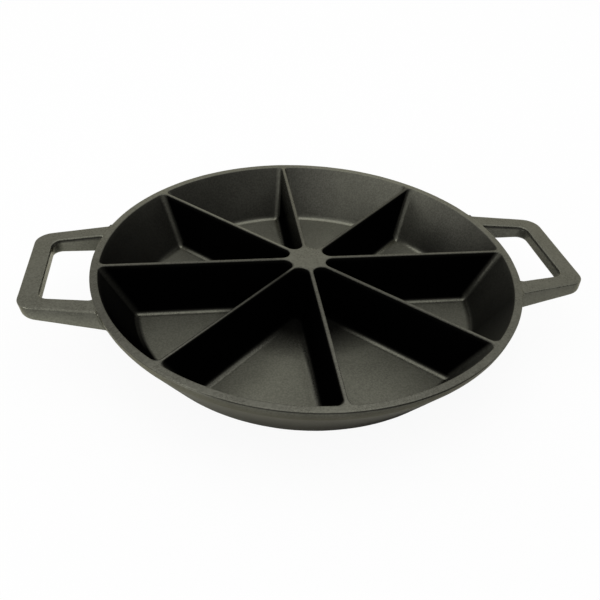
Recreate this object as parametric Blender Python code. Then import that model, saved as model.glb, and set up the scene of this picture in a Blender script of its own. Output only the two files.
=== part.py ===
"""A cast-iron cornbread pan: a round pan with eight wedge pockets and two loop handles.

The real pan is a single casting. Here it is parted where its regions meet, so that each region
is a closed solid of its own: the floor, the side wall with its rim, the hub, the eight dividers
and the two handles. A hairline seam lies between neighbours.

Metres, +Z up. The origin is on the ground under the hub, and +X runs out through a handle.
"""
import math

import bpy
from mathutils import Matrix, Vector

MM = 0.001

# The pan
RIM_RADIUS = 152.4 * MM
RIM_WIDTH = 5.3 * MM
PAN_HEIGHT = 45.0 * MM
FLOOR_THICKNESS = 5.0 * MM
INNER_LEAN = math.radians(29.0)
WALL_AT_FLOOR = 4.0 * MM
BAND_HEIGHT = 7.0 * MM
BAND_DRAFT = math.radians(10.0)
KNUCKLE_RADIUS = 5.0 * MM
EDGE_BREAK = 0.6 * MM

# The pockets and the dividers between them
POCKET_COUNT = 8
DIVIDER_TOP = 2.8 * MM
DIVIDER_DRAFT = math.radians(5.0)
HUB_CORNER = 6.2 * MM
RIM_CORNER = 4.5 * MM
FLOOR_FILLET = 6.0 * MM
SHARPEST_CORNER = 0.8 * MM

# The handles, sized from the rim outward and square across
HANDLE_LENGTH = 42.8 * MM
HANDLE_ROOT_WIDTH = 103.6 * MM
HANDLE_TIP_WIDTH = 87.6 * MM
HANDLE_ROOT_THICKNESS = 14.0 * MM
HANDLE_TIP_THICKNESS = 9.3 * MM
HANDLE_DROP = 0.2 * MM
HANDLE_CORNER = 12.0 * MM
HANDLE_EDGE = 1.0 * MM
GRIP_WIDTH = 12.9 * MM
ARM_ROOT_WIDTH = 12.8 * MM
ARM_TIP_WIDTH = 11.5 * MM
HOLE_CORNER = 8.0 * MM

# The seams between the regions
SEAM = 0.3 * MM
SEAM_SETBACK = 1.2 * MM

# How finely round shapes are faceted
STEPS_PER_POCKET = 12
RING_STEPS = POCKET_COUNT * STEPS_PER_POCKET
CORNER_STEPS = 4
HANDLE_CORNER_STEPS = 6
HUB_CORNER_STEPS = 8
FILLET_STEPS = 3
KNUCKLE_STEPS = 4

# How far a cutter stands out past what it cuts
CUTTER_PROUD = 2.0 * MM

# Worked out from the sizes above
HALF_POCKET = math.pi / POCKET_COUNT
RIM_INNER_RADIUS = RIM_RADIUS - RIM_WIDTH
POCKET_DEPTH = PAN_HEIGHT - FLOOR_THICKNESS
POCKET_FLOOR_RADIUS = RIM_INNER_RADIUS - POCKET_DEPTH * math.tan(INNER_LEAN)
BAND_FOOT_RADIUS = RIM_RADIUS - BAND_HEIGHT * math.tan(BAND_DRAFT)
BAND_FOOT_Z = PAN_HEIGHT - BAND_HEIGHT
OUTER_SLOPE = (BAND_FOOT_RADIUS - POCKET_FLOOR_RADIUS - WALL_AT_FLOOR) / (BAND_FOOT_Z - FLOOR_THICKNESS)
OUTER_LEAN = math.atan(OUTER_SLOPE)
BASE_RADIUS = BAND_FOOT_RADIUS - BAND_FOOT_Z * OUTER_SLOPE
SEAM_Z = FLOOR_THICKNESS + SEAM
HANDLE_ROOT_X = RIM_RADIUS * math.cos(math.asin(HANDLE_ROOT_WIDTH / 2 / RIM_RADIUS)) - HANDLE_ROOT_THICKNESS

DIVIDER_NAMES = (
    "divider_right",
    "divider_back_right",
    "divider_back",
    "divider_back_left",
    "divider_left",
    "divider_front_left",
    "divider_front",
    "divider_front_right",
)


def fillet_inset(rise, lean):
    """How far the floor fillet stands in from a face that leans outward, at a height above the floor."""
    if rise >= FLOOR_FILLET * (1 - math.sin(lean)):
        return 0.0
    centre = -FLOOR_FILLET * (1 - math.sin(lean)) / math.cos(lean)
    curve = centre + math.sqrt(FLOOR_FILLET**2 - (FLOOR_FILLET - rise) ** 2)
    return rise * math.tan(lean) - curve


def half_divider(z):
    """Half a divider's thickness at a height, without its fillet to the floor."""
    return DIVIDER_TOP / 2 + (PAN_HEIGHT - z) * math.tan(DIVIDER_DRAFT)


def pocket_radius(z):
    """The radius of the pockets' outer wall at a height, without its fillet to the floor."""
    return POCKET_FLOOR_RADIUS + (z - FLOOR_THICKNESS) * math.tan(INNER_LEAN)


def arc(centre, radius, start, end, steps):
    """Points along an arc, both ends included."""
    angles = [start + (end - start) * k / steps for k in range(steps + 1)]
    return [centre + Vector((math.cos(a), math.sin(a))) * radius for a in angles]


def pocket_outline(z, grow=0.0):
    """A pocket's outline in plan at a height, its middle line along +X: a wedge with round corners."""
    rise = z - FLOOR_THICKNESS
    inset = fillet_inset(rise, DIVIDER_DRAFT) - grow
    half = half_divider(z) + inset
    radius = pocket_radius(z) - fillet_inset(rise, INNER_LEAN) + grow
    corner = max(RIM_CORNER - inset, SHARPEST_CORNER)
    hub_corner = max(HUB_CORNER - inset, SHARPEST_CORNER)
    along = Vector((math.cos(HALF_POCKET), -math.sin(HALF_POCKET)))
    inward = Vector((math.sin(HALF_POCKET), math.cos(HALF_POCKET)))
    reach = math.sqrt((radius - corner) ** 2 - (half + corner) ** 2)
    low = along * reach + inward * (half + corner)
    high = Vector((low.x, -low.y))
    bearing = math.atan2(low.y, low.x)
    side = math.pi / 2 + HALF_POCKET
    apex = Vector(((half + hub_corner) / math.sin(HALF_POCKET), 0.0))
    outline = arc(low, corner, -side, bearing, CORNER_STEPS)
    outline += arc(Vector((0.0, 0.0)), radius, bearing, -bearing, STEPS_PER_POCKET)[1:-1]
    outline += arc(high, corner, -bearing, side, CORNER_STEPS)
    outline += arc(apex, hub_corner, side, 2 * math.pi - side, HUB_CORNER_STEPS)
    return outline


def hub_radius(z):
    """Where the seam round the hub lies at a height: just past the pockets' round inner ends."""
    return (half_divider(z) + HUB_CORNER) / math.tan(HALF_POCKET) + SEAM_SETBACK


def stub_radius(z):
    """Where the seam inside the wall lies at a height: just past the pockets' round outer corners."""
    return pocket_radius(z) - RIM_CORNER - SEAM_SETBACK


def outer_profile(grow=0.0):
    """The outside of the pan from its flat underside to its rim, as radius and height pairs."""
    tangent = KNUCKLE_RADIUS * math.tan((math.pi / 2 - OUTER_LEAN) / 2)
    centre = Vector((BASE_RADIUS - tangent, KNUCKLE_RADIUS))
    knuckle = arc(centre, KNUCKLE_RADIUS, -math.pi / 2, -OUTER_LEAN, KNUCKLE_STEPS)
    band = [
        Vector((BAND_FOOT_RADIUS, BAND_FOOT_Z)),
        Vector((RIM_RADIUS - EDGE_BREAK * math.tan(BAND_DRAFT), PAN_HEIGHT - EDGE_BREAK)),
        Vector((RIM_RADIUS - EDGE_BREAK, PAN_HEIGHT)),
    ]
    return [(point.x + grow, point.y) for point in knuckle + band]


def circle(radius, z, first=0, count=RING_STEPS):
    """Points of a level circle round the pan's axis, on the bearings that every turned face uses."""
    bearings = [2 * math.pi * (first + k) / RING_STEPS for k in range(count)]
    return [Vector((radius * math.cos(b), radius * math.sin(b), z)) for b in bearings]


def lift(outline, heights):
    """Raises the points of a plan outline to their heights."""
    return [Vector((point.x, point.y, z)) for point, z in zip(outline, heights)]


def add_shell(verts, faces, rings):
    """Joins rings of equal length into a closed skin, with a lid on the first and on the last."""
    start = len(verts)
    size = len(rings[0])
    for ring in rings:
        verts.extend(ring)
    for level in range(len(rings) - 1):
        low = start + level * size
        high = low + size
        for k in range(size):
            after = (k + 1) % size
            faces.append((low + k, low + after, high + after, high + k))
    faces.append(tuple(reversed(range(start, start + size))))
    faces.append(tuple(range(start + (len(rings) - 1) * size, start + len(rings) * size)))


def make_mesh(name, verts, faces):
    """A mesh with round faces shaded smooth and its corners kept sharp."""
    mesh = bpy.data.meshes.new(name)
    mesh.from_pydata(verts, [], faces)
    mesh.shade_smooth()
    mesh.set_sharp_from_angle(angle=math.radians(30.0))
    for face in mesh.polygons:
        if len(face.vertices) > 4:
            face.use_smooth = False
    mesh.validate()
    return mesh


def turned_mesh(name, profile, first=0, count=None):
    """Turns a closed profile of radius and height pairs round the axis, all the way or through a part."""
    whole = count is None
    count = RING_STEPS if whole else count
    rings = [circle(radius, z, first, count) for radius, z in profile]
    size = len(profile)
    verts = [ring[k] for k in range(count) for ring in rings]
    faces = []
    for k in range(count if whole else count - 1):
        here = k * size
        there = (k + 1) % count * size
        for j in range(size):
            after = (j + 1) % size
            faces.append((here + j, there + j, there + after, here + after))
    if not whole:
        faces.append(tuple(range(size)))
        faces.append(tuple(reversed(range((count - 1) * size, count * size))))
    return make_mesh(name, verts, faces)


def stacked_mesh(name, stacks):
    """A mesh of one closed skin for each stack of rings."""
    verts = []
    faces = []
    for rings in stacks:
        add_shell(verts, faces, rings)
    return make_mesh(name, verts, faces)


def iron(name, colour, roughness):
    """A bare or seasoned cast-iron finish."""
    material = bpy.data.materials.new(name)
    material.use_nodes = True
    shader = material.node_tree.nodes["Principled BSDF"]
    shader.inputs["Base Color"].default_value = (*colour, 1.0)
    shader.inputs["Roughness"].default_value = roughness
    shader.inputs["Metallic"].default_value = 0.35
    return material


def place(name, mesh, bearing=0.0):
    """Adds an object for a mesh, turned about the pan's axis."""
    thing = bpy.data.objects.new(name, mesh)
    thing.rotation_euler = (0.0, 0.0, bearing)
    bpy.context.scene.collection.objects.link(thing)
    return thing


def dress(thing, material):
    """Gives an object its finish."""
    thing.data.materials.clear()
    thing.data.materials.append(material)


def as_cutter(thing):
    """Marks an object as a guide that only shapes others."""
    thing.hide_render = True
    thing.display_type = "WIRE"
    return thing


def cut(thing, cutter):
    """Takes a cutter's shape out of an object."""
    modifier = thing.modifiers.new("cut_" + cutter.name, "BOOLEAN")
    modifier.operation = "DIFFERENCE"
    modifier.solver = "EXACT"
    modifier.object = cutter


def pocket_cutters():
    """The eight pockets as solids: fillet at the floor, drafted sides, broken edge at the top."""
    lean_angles = [math.pi / 2 * k / FILLET_STEPS for k in range(FILLET_STEPS + 1)]
    levels = [(FLOOR_THICKNESS + FLOOR_FILLET * (1 - math.cos(a)), 0.0) for a in lean_angles]
    levels.append((PAN_HEIGHT - EDGE_BREAK, 0.0))
    levels.append((PAN_HEIGHT, EDGE_BREAK))
    stacks = []
    for pocket in range(POCKET_COUNT):
        turn = Matrix.Rotation((2 * pocket + 1) * HALF_POCKET, 3, "Z")
        rings = []
        for z, grow in levels:
            outline = pocket_outline(z, grow)
            rings.append([turn @ point for point in lift(outline, [z] * len(outline))])
        lid = [point + Vector((0.0, 0.0, CUTTER_PROUD)) for point in rings[-1]]
        stacks.append(rings + [lid])
    return as_cutter(place("pocket_cutters", stacked_mesh("pocket_cutters", stacks)))


def floor_radius():
    """The floor plate ends short of the fillet that rises into the wall."""
    return POCKET_FLOOR_RADIUS - fillet_inset(0.0, INNER_LEAN) - SEAM_SETBACK


def build_floor(material):
    """The flat plate under the pockets."""
    rings = [circle(floor_radius(), 0.0), circle(floor_radius(), FLOOR_THICKNESS)]
    dress(place("pan_floor", stacked_mesh("pan_floor", [rings])), material)


def build_wall(material, pockets):
    """The side wall with its rim band, its rounded foot and the roots of the dividers."""
    seam_radius = floor_radius() + SEAM
    profile = [(seam_radius, 0.0)] + outer_profile()
    profile += [
        (stub_radius(PAN_HEIGHT), PAN_HEIGHT),
        (stub_radius(SEAM_Z), SEAM_Z),
        (seam_radius, SEAM_Z),
    ]
    wall = place("side_wall", turned_mesh("side_wall", profile))
    dress(wall, material)
    cut(wall, pockets)


def build_hub(material, pockets):
    """The core where the dividers meet."""
    rings = [circle(hub_radius(SEAM_Z), SEAM_Z), circle(hub_radius(PAN_HEIGHT), PAN_HEIGHT)]
    hub = place("centre_hub", stacked_mesh("centre_hub", [rings]))
    dress(hub, material)
    cut(hub, pockets)


def build_dividers(material, pockets):
    """The eight dividers, each a sector block that its two pockets cut to a thin wall."""
    gap = SEAM / math.cos(INNER_LEAN)
    profile = [
        (hub_radius(SEAM_Z) + gap, SEAM_Z),
        (stub_radius(SEAM_Z) - gap, SEAM_Z),
        (stub_radius(PAN_HEIGHT) - gap, PAN_HEIGHT),
        (hub_radius(PAN_HEIGHT) + gap, PAN_HEIGHT),
    ]
    reach = STEPS_PER_POCKET // 2
    mesh = turned_mesh("divider", profile, -reach, 2 * reach + 1)
    mesh.materials.append(material)
    for number, name in enumerate(DIVIDER_NAMES):
        cut(place(name, mesh, 2 * HALF_POCKET * number), pockets)


def handle_half_width(x):
    """Half the handle's width across its arms, which draw together toward the grip."""
    share = (x - RIM_RADIUS) / HANDLE_LENGTH
    return (HANDLE_ROOT_WIDTH + (HANDLE_TIP_WIDTH - HANDLE_ROOT_WIDTH) * share) / 2


def arm_width(x):
    """The width of one arm, square across."""
    reach = HANDLE_LENGTH - GRIP_WIDTH
    return ARM_ROOT_WIDTH + (ARM_TIP_WIDTH - ARM_ROOT_WIDTH) * (x - RIM_RADIUS) / reach


def handle_underside(x):
    """The height of the handle's sloping underside."""
    share = (x - RIM_RADIUS) / HANDLE_LENGTH
    thickness = HANDLE_ROOT_THICKNESS + (HANDLE_TIP_THICKNESS - HANDLE_ROOT_THICKNESS) * share
    return PAN_HEIGHT - HANDLE_DROP - thickness


def tip_corner(half_width, tip, radius):
    """The round corner between a side that narrows outward and the square end at tip, on the +Y side."""
    near = Vector((RIM_RADIUS, half_width(RIM_RADIUS)))
    far = Vector((tip, half_width(tip)))
    along = (far - near).normalized()
    slant = math.atan2(along.y, along.x)
    inward = Vector((along.y, -along.x))
    on_side = near + inward * radius
    distance = (tip - radius - on_side.x) / along.x
    return arc(on_side + along * distance, radius, 0.0, math.pi / 2 + slant, HANDLE_CORNER_STEPS)


def loop_outline(half_width, tip, radius):
    """A closed outline across the handle: round corners at the tip, run back into the pan."""
    half = tip_corner(half_width, tip, radius)
    half.append(Vector((HANDLE_ROOT_X, half_width(HANDLE_ROOT_X))))
    return [Vector((point.x, -point.y)) for point in reversed(half)] + half


def handle_outline(inset=0.0):
    """The handle's outer outline in plan."""
    tip = RIM_RADIUS + HANDLE_LENGTH - inset
    return loop_outline(lambda x: handle_half_width(x) - inset, tip, HANDLE_CORNER - inset)


def hole_outline(outset=0.0):
    """The finger hole's outline in plan."""
    tip = RIM_RADIUS + HANDLE_LENGTH - GRIP_WIDTH + outset
    return loop_outline(lambda x: handle_half_width(x) - arm_width(x) + outset, tip, HOLE_CORNER + outset)


def handle_stack(outlines, proud=0.0):
    """Lifts a handle outline to its four levels: underside, two edge breaks and top face."""
    top = PAN_HEIGHT - HANDLE_DROP
    broken, full = outlines
    rings = [
        lift(broken, [handle_underside(point.x) for point in broken]),
        lift(full, [handle_underside(point.x) + HANDLE_EDGE for point in full]),
        lift(full, [top - HANDLE_EDGE] * len(full)),
        lift(broken, [top] * len(broken)),
    ]
    if proud:
        offset = Vector((0.0, 0.0, proud))
        rings.insert(0, [point - offset for point in rings[0]])
        rings.append([point + offset for point in rings[-1]])
    return rings


def half_turn(rings):
    """The same rings on the pan's other side."""
    return [[Vector((-point.x, -point.y, point.z)) for point in ring] for ring in rings]


def build_handles(material):
    """The two loop handles, cut by their finger holes and by the pan that they grow out of."""
    hole = handle_stack((hole_outline(HANDLE_EDGE), hole_outline()), CUTTER_PROUD)
    holes = as_cutter(place("finger_holes", stacked_mesh("finger_holes", [hole, half_turn(hole)])))
    grow = SEAM / math.cos(OUTER_LEAN)
    profile = outer_profile(grow)
    foot = (profile[0][0], -CUTTER_PROUD)
    head = (profile[-1][0], PAN_HEIGHT + CUTTER_PROUD)
    rings = [circle(radius, z) for radius, z in [foot] + profile + [head]]
    body = as_cutter(place("pan_outside", stacked_mesh("pan_outside", [rings])))
    mesh = stacked_mesh("handle", [handle_stack((handle_outline(HANDLE_EDGE), handle_outline()))])
    mesh.materials.append(material)
    for name, bearing in (("handle_right", 0.0), ("handle_left", math.pi)):
        handle = place(name, mesh, bearing)
        cut(handle, holes)
        cut(handle, body)


def main():
    """Clears the scene and builds the pan."""
    for thing in list(bpy.data.objects):
        bpy.data.objects.remove(thing, do_unlink=True)
    pockets = pocket_cutters()
    build_floor(iron("floor_iron", (0.085, 0.086, 0.071), 0.62))
    build_wall(iron("wall_iron", (0.090, 0.090, 0.074), 0.58), pockets)
    build_hub(iron("hub_iron", (0.110, 0.108, 0.089), 0.55), pockets)
    build_dividers(iron("divider_iron", (0.100, 0.098, 0.082), 0.56), pockets)
    build_handles(iron("handle_iron", (0.110, 0.108, 0.090), 0.55))


main()
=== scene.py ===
"""Dresses the wedge cornbread pan: seasoned sand-cast iron on a pale studio floor.

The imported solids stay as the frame. Three pieces stand for them in the picture: the pan itself,
cast in one skin with its pockets, and the two loop handles. Lengths are in metres.
"""
from __future__ import annotations

import logging
import math
from collections.abc import Mapping, Sequence
from dataclasses import dataclass, field, fields
from enum import Enum
from typing import Self

import bmesh
import bpy
from mathutils import Matrix, Vector, noise

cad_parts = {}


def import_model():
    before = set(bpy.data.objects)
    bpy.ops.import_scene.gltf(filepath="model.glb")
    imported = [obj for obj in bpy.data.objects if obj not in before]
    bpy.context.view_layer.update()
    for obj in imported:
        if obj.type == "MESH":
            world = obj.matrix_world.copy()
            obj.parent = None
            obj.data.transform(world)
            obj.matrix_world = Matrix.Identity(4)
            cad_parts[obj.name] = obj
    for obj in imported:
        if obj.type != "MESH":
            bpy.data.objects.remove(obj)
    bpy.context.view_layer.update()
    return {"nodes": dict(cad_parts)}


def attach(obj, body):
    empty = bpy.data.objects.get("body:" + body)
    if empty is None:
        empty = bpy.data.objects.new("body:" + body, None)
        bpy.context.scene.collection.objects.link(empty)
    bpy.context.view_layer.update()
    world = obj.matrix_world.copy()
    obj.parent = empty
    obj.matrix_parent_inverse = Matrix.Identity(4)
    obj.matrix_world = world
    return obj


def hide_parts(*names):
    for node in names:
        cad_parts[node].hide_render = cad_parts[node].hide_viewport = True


MM = 0.001
WELD_DISTANCE = 0.002 * MM
WHITE = (1.0, 1.0, 1.0)
LOG = logging.getLogger("cornbread_pan")

Colour = tuple[float, float, float]
Setting = object


# Shader building


@dataclass
class Value:
    """A number socket of a node tree, which takes part in arithmetic."""

    graph: Graph
    socket: bpy.types.NodeSocket

    def _math(self, operation: str, first: Value | float, second: Value | float) -> Value:
        """The result of a Math node with two operands."""
        settings = {"operation": operation}
        return self.graph.value("ShaderNodeMath", 0, settings, {0: first, 1: second})

    def __add__(self, other: Value | float) -> Value:
        """Adds another value."""
        return self._math("ADD", self, other)

    __radd__ = __add__

    def __sub__(self, other: Value | float) -> Value:
        """Takes another value away."""
        return self._math("SUBTRACT", self, other)

    def __rsub__(self, other: float) -> Value:
        """Takes this value away from a number."""
        return self._math("SUBTRACT", other, self)

    def __mul__(self, other: Value | float) -> Value:
        """Multiplies by another value."""
        return self._math("MULTIPLY", self, other)

    __rmul__ = __mul__

    def __or__(self, other: Value | float) -> Value:
        """The larger of two values."""
        return self._math("MAXIMUM", self, other)

    def between(self, low: float, high: float) -> Value:
        """Eases from 0 at one value to 1 at another.

        Args:
            low: Where the result is 0.
            high: Where the result is 1.

        Returns:
            The eased value.
        """
        settings = {"interpolation_type": "SMOOTHSTEP"}
        sockets = {"Value": self, "From Min": low, "From Max": high}
        return self.graph.value("ShaderNodeMapRange", "Result", settings, sockets)


class Graph:
    """The node tree of a material or of the world."""

    def __init__(self, tree: bpy.types.NodeTree) -> None:
        """Takes over a tree and empties it."""
        self.tree = tree
        tree.nodes.clear()

    def node(
        self,
        kind: str,
        settings: Mapping[str, Setting] | None = None,
        sockets: Mapping[str | int, Setting] | None = None,
    ) -> bpy.types.Node:
        """Adds a node.

        Args:
            kind: The node's type.
            settings: Its own settings, set before its sockets.
            sockets: What goes into its inputs: values, colours, other sockets or Values.

        Returns:
            The new node.
        """
        node = self.tree.nodes.new(kind)
        for name, setting in (settings or {}).items():
            setattr(node, name, setting)
        for key, source in (sockets or {}).items():
            source = source.socket if isinstance(source, Value) else source
            if isinstance(source, bpy.types.NodeSocket):
                self.tree.links.new(source, node.inputs[key])
            elif isinstance(source, tuple) and node.inputs[key].type == "RGBA":
                node.inputs[key].default_value = (*source, 1.0)
            else:
                node.inputs[key].default_value = source
        return node

    def value(
        self, kind: str, output: str | int, settings: Mapping[str, Setting], sockets: Mapping
    ) -> Value:
        """Adds a node and wraps one of its outputs as a number."""
        return Value(self, self.node(kind, settings, sockets).outputs[output])

    def blend(self, share: Value | float, first: Setting, second: Setting) -> bpy.types.NodeSocket:
        """Mixes two colours or colour sockets, by how much of the second shows."""
        sockets = {0: share, 6: first, 7: second}
        return self.node("ShaderNodeMix", {"data_type": "RGBA"}, sockets).outputs[2]


class Mixable:
    """A set of numbers that can be taken part of the way to another set."""

    def toward(self, other: Self, share: float) -> Self:
        """The set that lies part of the way to another one."""
        pairs = zip(vars(self).values(), vars(other).values())
        return type(self)(*(a + (b - a) * share for a, b in pairs))


@dataclass(frozen=True)
class Coat(Mixable):
    """How the iron's skin is at one point, with the light and shade painted on it. Each amount is
    painted on the mesh under its name.
    """

    # Painted shade: darkens the skin to near black and takes away its metal reflection.
    crust: float = 0.0
    # Real wear and painted light: lightens the skin toward the lighter colour.
    wear: float = 0.0
    dull: float = 0.0
    coarse: float = 0.5

    @staticmethod
    def rubbed(amount: float, coarse: float, dullness: float = 0.0) -> Coat:
        """A coat that is worn and painted lighter by a positive amount, or painted with shade by a
        negative one.
        """
        wear = max(0.0, amount)
        return Coat(max(0.0, -amount), wear, wear * dullness, coarse)


@dataclass(frozen=True)
class SeasonedIron:
    """The finish of the whole pan: sand-cast iron under a thin baked-on coat, with painted light
    and shade read from the mesh.
    """

    name: str = "seasoned_iron"
    crest: Colour = (0.090, 0.089, 0.074)
    hollow: Colour = (0.060, 0.059, 0.049)
    # The near-black colour of painted shade.
    crust: Colour = (0.0008, 0.0008, 0.0008)
    # The lighter colour of worn iron and of painted light, on crests and in hollows.
    rubbed: Colour = (0.2, 0.2, 0.158)
    rubbed_hollow: Colour = (0.145, 0.145, 0.114)
    edge_tint: Colour = (0.85, 0.83, 0.72)
    roughness: float = 0.25
    coarse_roughness: float = 0.1
    roughness_spread: float = 0.1
    grain_size: float = 1.3 * MM
    pebble_size: float = 2.4 * MM
    cloud_size: float = 22.0 * MM
    grain_height: float = 0.1 * MM
    grain_layering: float = 0.6
    cloud_layering: float = 0.55
    noise_layers: float = 3.0
    pebble_softness: float = 0.8
    pebble_share: float = 0.35
    cloud_tone_share: float = 0.25
    cloud_roughness_share: float = 0.6
    tone_low: float = 0.35
    tone_high: float = 0.65

    def build(self) -> bpy.types.Material:
        """Makes the material.

        Returns:
            The finished material.
        """
        material = bpy.data.materials.new(self.name)
        material.use_nodes = True
        graph = Graph(material.node_tree)
        place = graph.node("ShaderNodeTexCoord").outputs["Object"]
        grain = self._noise(graph, place, self.grain_size, self.grain_layering)
        cloud = self._noise(graph, place, self.cloud_size, self.cloud_layering)
        pebble = graph.value(
            "ShaderNodeTexVoronoi",
            "Distance",
            {"feature": "SMOOTH_F1"},
            {"Vector": place, "Scale": 1.0 / self.pebble_size, "Smoothness": self.pebble_softness},
        )
        crust, wear, dull, coarse = (self._painted(graph, part.name) for part in fields(Coat))
        height = grain * (1.0 - self.pebble_share) + (1.0 - pebble) * self.pebble_share
        tone = grain * (1.0 - self.cloud_tone_share) + cloud * self.cloud_tone_share
        tone = tone.between(self.tone_low, self.tone_high)
        colour = graph.blend(tone, self.hollow, self.crest)
        # Wear and painted light lighten the colour.
        rubbed = graph.blend(tone, self.rubbed_hollow, self.rubbed)
        colour = graph.blend(wear, colour, rubbed)
        # Painted shade darkens the colour to near black.
        colour = graph.blend(crust, colour, self.crust)
        grain_share = 1.0 - self.cloud_roughness_share
        spread = cloud * self.cloud_roughness_share + grain * grain_share - 0.5
        roughness = self.roughness + spread * self.roughness_spread
        roughness = roughness + coarse * self.coarse_roughness
        sockets = {"Height": height, "Strength": 1.0, "Distance": self.grain_height}
        bump = graph.node("ShaderNodeBump", None, sockets)
        shader = graph.node(
            "ShaderNodeBsdfPrincipled",
            None,
            {
                "Base Color": colour,
                # Painted shade also takes away the metal's reflection.
                "Metallic": (1.0 - crust) * (1.0 - dull),
                "Specular IOR Level": 0.0,
                "Specular Tint": self.edge_tint,
                "Roughness": roughness,
                "Normal": bump.outputs["Normal"],
            },
        )
        graph.node("ShaderNodeOutputMaterial", None, {"Surface": shader.outputs[0]})
        return material

    def _noise(
        self, graph: Graph, place: bpy.types.NodeSocket, size: float, layering: float
    ) -> Value:
        """Adds an even noise.

        Args:
            graph: The material's tree.
            place: Where on the object the noise is read.
            size: About how wide one spot is.
            layering: How strong the finer layers are.

        Returns:
            The noise, about 0.5 on average.
        """
        sockets = {"Vector": place, "Scale": 1.0 / size}
        sockets |= {"Detail": self.noise_layers, "Roughness": layering}
        return graph.value("ShaderNodeTexNoise", "Fac", {}, sockets)

    def _painted(self, graph: Graph, name: str) -> Value:
        """Reads a value that is painted on the mesh."""
        return graph.value("ShaderNodeAttribute", "Fac", {"attribute_name": name}, {})


# Mesh building


@dataclass
class Skin:
    """A mesh in the making, with the coat of each of its points."""

    points: list[Vector] = field(default_factory=list)
    faces: list[tuple[int, ...]] = field(default_factory=list)
    coats: list[Coat] = field(default_factory=list)

    def ring(self, points: Sequence[Vector], coat: Coat | Sequence[Coat]) -> list[int]:
        """Adds a ring of points.

        Args:
            points: The ring's points in order.
            coat: The coat of the whole ring, or of each point.

        Returns:
            The numbers of the new points.
        """
        first = len(self.points)
        self.points.extend(points)
        self.coats.extend([coat] * len(points) if isinstance(coat, Coat) else coat)
        return list(range(first, len(self.points)))

    def bridge(self, here: Sequence[int], there: Sequence[int]) -> None:
        """Joins two closed rings with faces, or a ring with the single point of the other.

        Args:
            here: The ring that the skin starts from.
            there: The ring that it goes on to.
        """
        count = max(len(here), len(there))
        for k in range(count):
            sides = ((here, k), (there, k), (there, k + 1), (here, k + 1))
            corners = [ring[place % len(ring)] for ring, place in sides]
            self.faces.append(tuple(dict.fromkeys(corners)))

    def bridge_all(self, rings: Sequence[Sequence[int]]) -> None:
        """Joins each ring with the next."""
        for here, there in zip(rings, rings[1:]):
            self.bridge(here, there)


@dataclass(frozen=True)
class SandSurface:
    """The unevenness that the sand mould leaves, as shallow hollows in the skin."""

    broad_size: float = 14.0 * MM
    broad_depth: float = 0.16 * MM
    fine_size: float = 3.2 * MM
    fine_depth: float = 0.07 * MM

    def depth(self, point: Vector) -> float:
        """How far a point sinks below the plain shape.

        Args:
            point: A point of the skin.

        Returns:
            The depth, never negative.
        """
        broad = noise.noise(point / self.broad_size) * 0.5 + 0.5
        fine = noise.noise(point / self.fine_size) * 0.5 + 0.5
        return max(0.0, broad) * self.broad_depth + max(0.0, fine) * self.fine_depth


def add_object(name: str, data: bpy.types.ID) -> bpy.types.Object:
    """Adds an object to the scene.

    Args:
        name: Its name.
        data: Its mesh, lamp or lens.

    Returns:
        The new object.
    """
    thing = bpy.data.objects.new(name, data)
    bpy.context.scene.collection.objects.link(thing)
    return thing


class Casting:
    """A piece of the pan's iron, which is built as a skin and then dressed."""

    name: str

    def skin(self) -> Skin:
        """The piece's points, faces and coats."""
        raise NotImplementedError

    def build(self, surface: SandSurface, finish: bpy.types.Material) -> bpy.types.Object:
        """Turns the skin into a dressed object.

        Args:
            surface: The sand's unevenness.
            finish: The iron's material.

        Returns:
            The new object, in the scene.
        """
        skin = self.skin()
        mesh = bpy.data.meshes.new(self.name)
        mesh.from_pydata(skin.points, [], skin.faces)
        for part in fields(Coat):
            values = [getattr(coat, part.name) for coat in skin.coats]
            mesh.attributes.new(part.name, "FLOAT", "POINT").data.foreach_set("value", values)
        body = bmesh.new()
        body.from_mesh(mesh)
        bmesh.ops.remove_doubles(body, verts=body.verts, dist=WELD_DISTANCE)
        body.normal_update()
        moved = [(vert, vert.co - vert.normal * surface.depth(vert.co)) for vert in body.verts]
        for vert, place in moved:
            vert.co = place
        body.to_mesh(mesh)
        body.free()
        mesh.shade_smooth()
        mesh.materials.append(finish)
        return add_object(self.name, mesh)


def heading(angle: float) -> Vector:
    """The direction in plan at an angle from +X."""
    return Vector((math.cos(angle), math.sin(angle)))


def straight_up(height: float) -> Vector:
    """An upright step."""
    return Vector((0.0, 0.0, height))


def clamp(share: float) -> float:
    """A number kept between 0 and 1."""
    return min(1.0, max(0.0, share))


def hump(share: float) -> float:
    """A number that is 1 halfway along and 0 at both ends."""
    return 4.0 * share * (1.0 - share)


def arc(centre: Vector, radius: float, start: float, end: float, steps: int) -> list[Vector]:
    """Points in plan along an arc from one angle to another, both ends included."""
    angles = [start + (end - start) * k / steps for k in range(steps + 1)]
    return [centre + heading(angle) * radius for angle in angles]


def between(first: Vector, last: Vector, share: float) -> Vector:
    """A point part of the way from one point to another."""
    return first + (last - first) * share


def rounding(distance: float, radius: float, lean: float) -> float:
    """How far a rounding stands off a leaning face, near the level face that it runs into.

    Args:
        distance: The distance from the level face.
        radius: The rounding's radius.
        lean: The leaning face's angle from upright, away from the rounding's centre.

    Returns:
        The offset from the leaning face, level.
    """
    if distance >= radius * (1 - math.sin(lean)):
        return 0.0
    centre = radius * (1 - math.sin(lean)) / math.cos(lean)
    return centre + distance * math.tan(lean) - math.sqrt(radius**2 - (radius - distance) ** 2)


# The pan


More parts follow.
